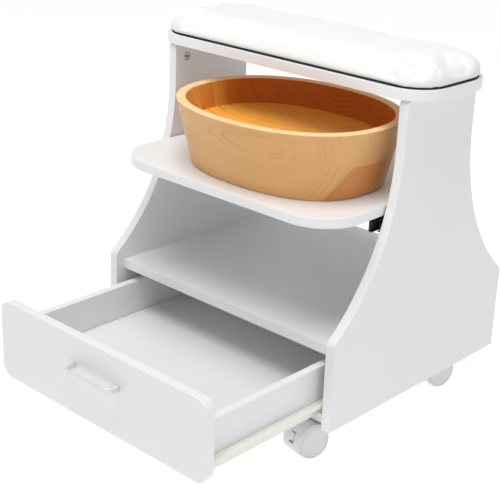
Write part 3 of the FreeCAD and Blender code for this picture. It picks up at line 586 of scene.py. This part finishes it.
def ringPattern(tree, local, look):
    slow = noise(tree, local, grain["bendScale"], 1.6, 0.4).outputs["Color"]
    swing = vectorCalc(tree, "SUBTRACT", slow, (0.5, 0.5, 0.5))
    bent = vectorCalc(tree, "ADD", local, vectorCalc(tree, "MULTIPLY", swing, (look["bend"],) * 3))
    if look["pattern"] in ("wall", "inside"):
        height = addNode(tree, "ShaderNodeSeparateXYZ", {0: bent}).outputs[2]
        bent = addNode(tree, "ShaderNodeCombineXYZ", {0: alongWall(tree, bent), 2: height}).outputs[0]
    axes = addNode(tree, "ShaderNodeSeparateXYZ", {0: vectorCalc(tree, "SUBTRACT", bent, look["heart"])})
    squares = []
    for axis, stretch in enumerate(look["stretch"]):
        part = calc(tree, "MULTIPLY", axes.outputs[axis], stretch)
        if look["pattern"] == "wall" and axis == 0:
            ends = (wallRings[key] for key in ("from", "to", "long", "steep"))
            steep = remap(tree, axes.outputs[0], *ends, smooth=True)
            part = calc(tree, "MULTIPLY", part, steep)
        squares.append(calc(tree, "MULTIPLY", part, part))
    ring = calc(tree, "SQRT", calc(tree, "ADD", calc(tree, "ADD", squares[0], squares[1]), squares[2]))
    return ring, bent


def leanPattern(tree, bent):
    axes = addNode(tree, "ShaderNodeSeparateXYZ", {0: bent})
    across = calc(tree, "MULTIPLY", axes.outputs[0], wallBlock["grainAcross"])
    return calc(tree, "SUBTRACT", across, calc(tree, "MULTIPLY", axes.outputs[2], wallBlock["grainUp"]))


def growthLines(tree, ring, local, look):
    ripple = noise(tree, local, grain["rippleScale"], 3.0, 0.55).outputs["Fac"]
    count = calc(tree, "ADD", calc(tree, "DIVIDE", ring, look["spacing"]),
                 calc(tree, "MULTIPLY", ripple, grain["ripple"]))
    share = calc(tree, "FRACT", count)
    order = addNode(tree, "ShaderNodeTexWhiteNoise", {"W": calc(tree, "FLOOR", count)}, noise_dimensions="1D")
    late = addNode(tree, "ShaderNodeValToRGB", {"Fac": share})
    ramp = late.color_ramp
    ramp.interpolation = "EASE"
    for element, position in zip(ramp.elements, (0.0, 1.0)):
        element.position = position
        element.color = (0.0, 0.0, 0.0, 1.0)
    for position, level in ((0.5, 0.12), (0.8, 1.0), (0.92, 0.55)):
        ramp.elements.new(position).color = (level, level, level, 1.0)
    strength = remap(tree, order.outputs["Value"], 0.0, 1.0, 0.08, 1.0)
    fade = noise(tree, local, grain["fadeScale"], 2.0).outputs["Fac"]
    faded = calc(tree, "MULTIPLY", strength, remap(tree, fade, 0.38, 0.6, 0.25, 1.0, smooth=True))
    return calc(tree, "MULTIPLY", calc(tree, "MULTIPLY", late.outputs["Color"], faded), look["contrast"])


def makeWood(middle, underside, look):
    material, tree, shader = newMaterial("basin_wood_" + look["pattern"])
    place = addNode(tree, "ShaderNodeTexCoord").outputs["Object"]
    local = vectorCalc(tree, "SUBTRACT", place, (middle.x, middle.y, underside))
    x, y, z = addNode(tree, "ShaderNodeSeparateXYZ", {0: local}).outputs
    ring, bent = ringPattern(tree, local, look)
    light, line = look["light"] + (1.0,), look["line"] + (1.0,)
    if look["pattern"] == "wall":
        # a redder block low on the right, its upper joint level, its left joint along the grain
        leanedBy = calc(tree, "MULTIPLY", z, wallBlock["jointLean"])
        joint = calc(tree, "SUBTRACT", alongWall(tree, local), leanedBy)
        right = remap(tree, joint, wallBlock["jointFrom"], wallBlock["jointTo"], 0.0, 1.0, smooth=True)
        inBlock = calc(tree, "MULTIPLY", right, calc(tree, "LESS_THAN", z, wallBlock["top"]))
        inBlock = calc(tree, "MULTIPLY", inBlock, calc(tree, "LESS_THAN", y, wallBlock["back"]))
        leaning = calc(tree, "MULTIPLY", leanPattern(tree, bent), wallBlock["grainShare"])
        hard = calc(tree, "GREATER_THAN", inBlock, 0.5)
        ring = calc(tree, "ADD", calc(tree, "MULTIPLY", ring, calc(tree, "SUBTRACT", 1.0, hard)),
                    calc(tree, "MULTIPLY", leaning, hard))
        light = blendColor(tree, inBlock, light, look["block"] + (1.0,))
        line = blendColor(tree, inBlock, line, look["blockLine"] + (1.0,))
    if look["pattern"] == "inside":
        # staves of golden wood at the left end
        order = calc(tree, "FLOOR", calc(tree, "MULTIPLY", calc(tree, "ARCTAN2", y, x), staves["perRadian"]))
        stave = addNode(tree, "ShaderNodeTexWhiteNoise", {"W": order}, noise_dimensions="1D").outputs["Value"]
        uneven = calc(tree, "ADD", alongWall(tree, local), calc(tree, "MULTIPLY", stave, staves["uneven"]))
        golden = remap(tree, uneven, staves["goldenTo"], staves["redFrom"], 1.0, 0.0, smooth=True)
        light = blendColor(tree, golden, light, look["block"] + (1.0,))
        line = blendColor(tree, golden, line, look["blockLine"] + (1.0,))
    lines = growthLines(tree, ring, local, look)
    long = addNode(tree, "ShaderNodeMapping", {"Vector": bent, "Scale": grain["fibreScale"]}).outputs[0]
    fibres = remap(tree, noise(tree, long, 1.0, 4.0, 0.6).outputs["Fac"], 0.35, 0.75, 0.0, grain["fibre"])
    dark = calc(tree, "MINIMUM", calc(tree, "ADD", lines, fibres), 1.0)
    wide = noise(tree, local, grain["tintScale"], 2.0).outputs["Fac"]
    tint = remap(tree, wide, 0.35, 0.7, 0.0, 0.3)
    lined = blendColor(tree, dark, light, line)
    tinted = blendColor(tree, tint, lined, grain["tint"] + (1.0,), kind="MULTIPLY")
    tree.links.new(tinted, shader.inputs["Base Color"])
    gloss = remap(tree, dark, 0.0, 1.0, look["rough"], look["rough"] + 0.12)
    tree.links.new(gloss, shader.inputs["Roughness"])
    relief = {"Height": dark, "Strength": grain["relief"], "Distance": grain["reliefDeep"]}
    bump = addNode(tree, "ShaderNodeBump", relief)
    bump.invert = True
    tree.links.new(bump.outputs["Normal"], shader.inputs["Normal"])
    shader.inputs["Specular IOR Level"].default_value = look["specular"]
    return material


makeBasin()
print("basin finished")


# how wide the edges of each node are rounded, and in how many steps
hardware = {
    "drawer_handle": (0.0014, 3), "drawer_runner_left": (0.0003, 2), "drawer_runner_right": (0.0003, 2),
    "cabinet_runner_left": (0.0003, 2), "cabinet_runner_right": (0.0003, 2),
    "tray_bracket_left": (0.0004, 2), "tray_bracket_right": (0.0004, 2), "caster_plates": (0.0005, 2),
}
for side in ("left", "right"):
    for member in ("outer", "middle", "inner"):
        hardware[f"tray_slide_{member}_{side}"] = (0.0003, 2)
    hardware[f"cabinet_roller_{side}"] = hardware[f"drawer_roller_{side}"] = (0.0008, 3)
for corner in ("front_left", "front_right", "rear_left", "rear_right"):
    hardware[f"caster_hood_{corner}"] = (0.0006, 3)
    hardware[f"caster_axle_{corner}"] = (0.0004, 2)
for side in ("left", "right"):
    hardware[f"brake_pedal_front_{side}"] = (0.0009, 3)
for nodeName in ("cam_bolts", "shelf_cam_locks", "base_cam_locks", "back_screws", "runner_screws",
                 "caster_screws", "handle_screws", "drawer_screws", "tray_screws"):
    hardware[nodeName] = (0.0003, 2)
for nodeName, (width, segments) in hardware.items():
    softened(nodeName, width, segments)


def solidBoxes(nodeName):
    # the box of each separate solid in a CAD node
    outline = bmesh.new()
    outline.from_mesh(cadNodes[nodeName].data)
    bmesh.ops.remove_doubles(outline, verts=outline.verts, dist=1e-6)
    waiting, boxes = set(outline.verts), []
    while waiting:
        edge, found = [waiting.pop()], []
        while edge:
            vertex = edge.pop()
            found.append(vertex.co.copy())
            near = [link.other_vert(vertex) for link in vertex.link_edges]
            near = [other for other in near if other in waiting]
            waiting.difference_update(near)
            edge += near
        boxes.append([Vector(pick(co[axis] for co in found) for axis in range(3)) for pick in (min, max)])
    outline.free()
    return boxes


camLock = {
    "edge": 0.0004, "rim": 0.0011, "rimSlope": 0.0002,
    "groove": 0.0022, "grooveDeep": 0.0007, "grooveSlope": 0.0003,
    "sunk": 0.0002, "socket": 0.0025, "socketDeep": 0.0035,
}


def makeSeatCams():
    outline = bmesh.new()
    for low, high in solidBoxes("seat_cam_locks"):
        middle, radius, deep = (low + high) / 2, (high.y - low.y) / 2, high.x - low.x
        inward = -1.0 if middle.x > 0 else 1.0
        face = low.x if inward < 0 else high.x
        rim, groove = radius - camLock["rim"], radius - camLock["groove"]
        edge, grooveDeep, sunk = camLock["edge"], camLock["grooveDeep"], camLock["sunk"]
        socket, socketDeep = camLock["socket"], camLock["socketDeep"]
        profile = [(0.0, -deep), (radius, -deep), (radius, -edge), (radius - edge, 0.0), (rim, 0.0),
                   (rim - camLock["rimSlope"], -grooveDeep), (groove, -grooveDeep),
                   (groove - camLock["grooveSlope"], -sunk), (socket, -sunk), (socket, -socketDeep),
                   (0.0, -socketDeep)]
        dark = (0, 0, 0, 0, 1, 1, 1, 0, 1, 1)  # the groove and the socket take the second, near-black material: painted shade in the gap round the cam and in the hex socket
        makeTurned(outline, profile, (face, middle.y, middle.z), (inward, 0, 0), 36, dark)
    bmesh.ops.recalc_face_normals(outline, faces=outline.faces)
    mesh = bpy.data.meshes.new("seatCamLocks")
    outline.to_mesh(mesh)
    outline.free()
    piece = addPiece("seatCamLocks", mesh, "seat_cam_locks", materials["fastener_steel"])
    mesh.materials.append(materials["black_steel"])
    shadeSmooth(piece, 30.0)


makeSeatCams()

wheel = {
    "tread": 0.0022, "bore": 0.14,  # rounding of the tread in metres, and the bore as a share of the radius
    "grooveAt": 0.86, "grooveWide": 0.0007, "grooveDeep": 0.0008, "grooveTo": 0.0002, "grooveFrom": 0.0004,
    "capDrop": 0.0003, "around": 72,
}


def makeWheels(corner):
    nodeName = f"caster_wheels_{corner}"
    joint = next(joint for joint in frame["joints"] if joint["name"] == f"wheel_spin_{corner}")
    axis = Vector(joint["axis"]).normalized()
    hub = Vector(joint["pos_m"])
    along = [(vertex.co - hub).dot(axis) for vertex in cadNodes[nodeName].data.vertices]
    outer, inner = max(along), min(place for place in along if place > 0)
    radius = (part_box(nodeName)[1].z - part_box(nodeName)[0].z) / 2
    tread, bore, groove = wheel["tread"], radius * wheel["bore"], radius * wheel["grooveAt"]
    quarter = np.radians([0, 22.5, 45, 67.5, 90])
    profile = [(bore, inner), (radius - tread, inner)]
    profile += [(radius - tread * (1 - math.sin(t)), inner + tread * (1 - math.cos(t))) for t in quarter[1:]]
    profile += [(radius - tread * (1 - math.cos(t)), outer - tread * (1 - math.sin(t))) for t in quarter]
    wide, floor, cap = wheel["grooveWide"], outer - wheel["grooveDeep"], outer - wheel["capDrop"]
    profile += [(groove + wide, outer), (groove + wheel["grooveTo"], floor),
                (groove - wheel["grooveFrom"], floor), (groove - wide, cap),
                (groove * 0.8, outer - wheel["capDrop"] * 0.3), (groove * 0.4, outer), (0.0, outer)]
    outline = bmesh.new()
    for side in (1.0, -1.0):
        makeTurned(outline, profile, hub, axis * side, wheel["around"])
        rim = [edge for edge in outline.edges if edge.is_boundary]
        bmesh.ops.edgeloop_fill(outline, edges=rim)
    bmesh.ops.recalc_face_normals(outline, faces=outline.faces)
    mesh = bpy.data.meshes.new(camel(nodeName))
    outline.to_mesh(mesh)
    outline.free()
    shadeSmooth(addPiece(camel(nodeName), mesh, nodeName, materials["caster_wheel"]), 35.0)


for corner in ("front_left", "front_right", "rear_left", "rear_right"):
    makeWheels(corner)
print("hardware finished")


studio = {"floorSize": 24.0, "world": 0.5, "floorGlow": 0.70, "floorColor": (0.50, 0.50, 0.50, 1.0),
          "overhead": {"place": (0.1, -0.6, 2.5), "aim": (0, 0, 0.2), "size": 1.6, "power": 40.0},
          "sideFill": {"place": (2.4, -0.7, 1.2), "aim": (0, 0, 0.3), "size": 1.6, "power": 3.5}}


def makeFloor():
    mesh = bpy.data.meshes.new("floor")
    half = studio["floorSize"] / 2
    corners = [(-half, -half, 0), (half, -half, 0), (half, half, 0), (-half, half, 0)]
    mesh.from_pydata(corners, [], [(0, 1, 2, 3)])
    floor = bpy.data.objects.new("floor", mesh)
    bpy.context.scene.collection.objects.link(floor)
    material, tree, shader = newMaterial("paleFloor")
    shader.inputs["Base Color"].default_value = studio["floorColor"]
    shader.inputs["Roughness"].default_value = 0.9
    shader.inputs["Specular IOR Level"].default_value = 0.0
    shader.inputs["Emission Color"].default_value = (1.0, 1.0, 1.0, 1.0)
    shader.inputs["Emission Strength"].default_value = studio["floorGlow"]
    mesh.materials.append(material)
    floor.location.z = -0.0002  # just under the wheels


def addLight(name):
    look = studio[name]
    light = bpy.data.lights.new(name, "AREA")
    light.shape = "DISK"
    light.size = look["size"]
    light.energy = look["power"]
    lamp = bpy.data.objects.new(name, light)
    bpy.context.scene.collection.objects.link(lamp)
    lamp.location = look["place"]
    lamp.rotation_euler = (Vector(look["aim"]) - Vector(look["place"])).to_track_quat("-Z", "Y").to_euler()


def makeStudio():
    world = bpy.data.worlds.new("studio")
    bpy.context.scene.world = world
    world.use_nodes = True
    background = world.node_tree.nodes["Background"]
    background.inputs["Color"].default_value = (1.0, 1.0, 1.0, 1.0)
    background.inputs["Strength"].default_value = studio["world"]
    makeFloor()
    addLight("overhead")
    addLight("sideFill")
    view = bpy.context.scene.view_settings
    view.view_transform = "Standard"
    view.look = "None"


camera = {"azimuth": 42.46, "elevation": 21.59, "roll": 2.09, "lens": 86.58, "distance": 1.9477,
          "aim": (-0.0663, 0.0659, -0.06395)}  # aim is counted from the middle of the CAD box


def makeCamera():
    data = bpy.data.cameras.new("camera")
    data.lens = camera["lens"]
    data.sensor_width = 36.0
    data.clip_end = 100.0
    lens = bpy.data.objects.new("camera", data)
    bpy.context.scene.collection.objects.link(lens)
    a, e, r = (math.radians(camera[k]) for k in ("azimuth", "elevation", "roll"))
    back = Vector((math.sin(a) * math.cos(e), -math.cos(a) * math.cos(e), math.sin(e)))
    right = Vector((math.cos(a), math.sin(a), 0))
    up = back.cross(right)
    turned = math.cos(r) * right + math.sin(r) * up
    lens.matrix_world = Matrix.Translation(boxMiddle + Vector(camera["aim"]) + camera["distance"] * back) @ \
        Matrix((turned, back.cross(turned), back)).transposed().to_4x4()
    bpy.context.scene.camera = lens


makeStudio()
makeCamera()
print("studio finished")
